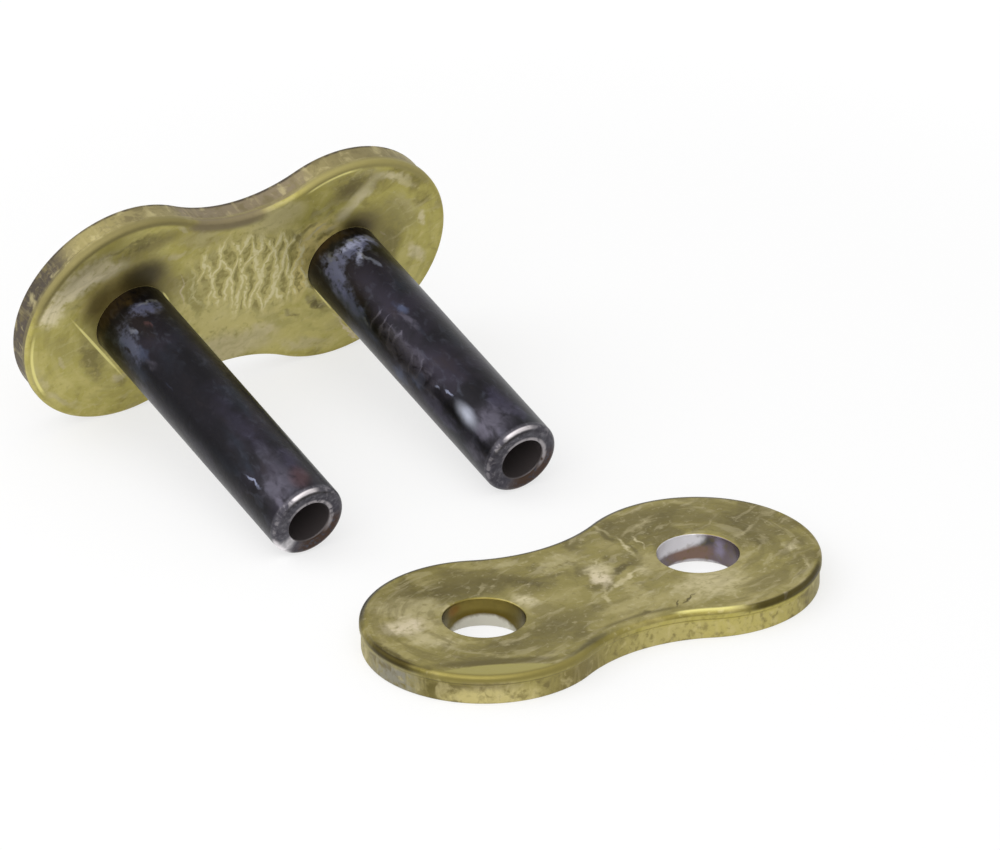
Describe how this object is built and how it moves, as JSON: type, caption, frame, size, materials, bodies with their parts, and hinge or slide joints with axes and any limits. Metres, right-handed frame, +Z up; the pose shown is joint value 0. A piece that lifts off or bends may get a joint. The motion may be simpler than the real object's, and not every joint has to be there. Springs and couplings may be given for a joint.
{
  "type": "chain connecting link",
  "caption": "Rivet-type connecting link set for a roller chain: an outer plate carrying hollow-ended pins, and a loose outer plate of the same shape.",
  "frame": {"origin": "on the surface the set lies on, in the middle of its footprint", "axes": "+X along the pitch between the pins, -Y the way the pins point from their plate, +Z up"},
  "size_m": [0.0342, 0.0488, 0.0153],
  "materials": {
    "gold_plate": "gold-coloured plating on stamped steel, glossy with uneven streaks",
    "blued_pin": "dark blued hardened steel, satin, with bright scratches"
  },
  "bodies": {
    "root": {"pinned_plate": "gold_plate", "loose_plate": "gold_plate", "left_pin": "blued_pin", "right_pin": "blued_pin"}
  },
  "joints": []
}
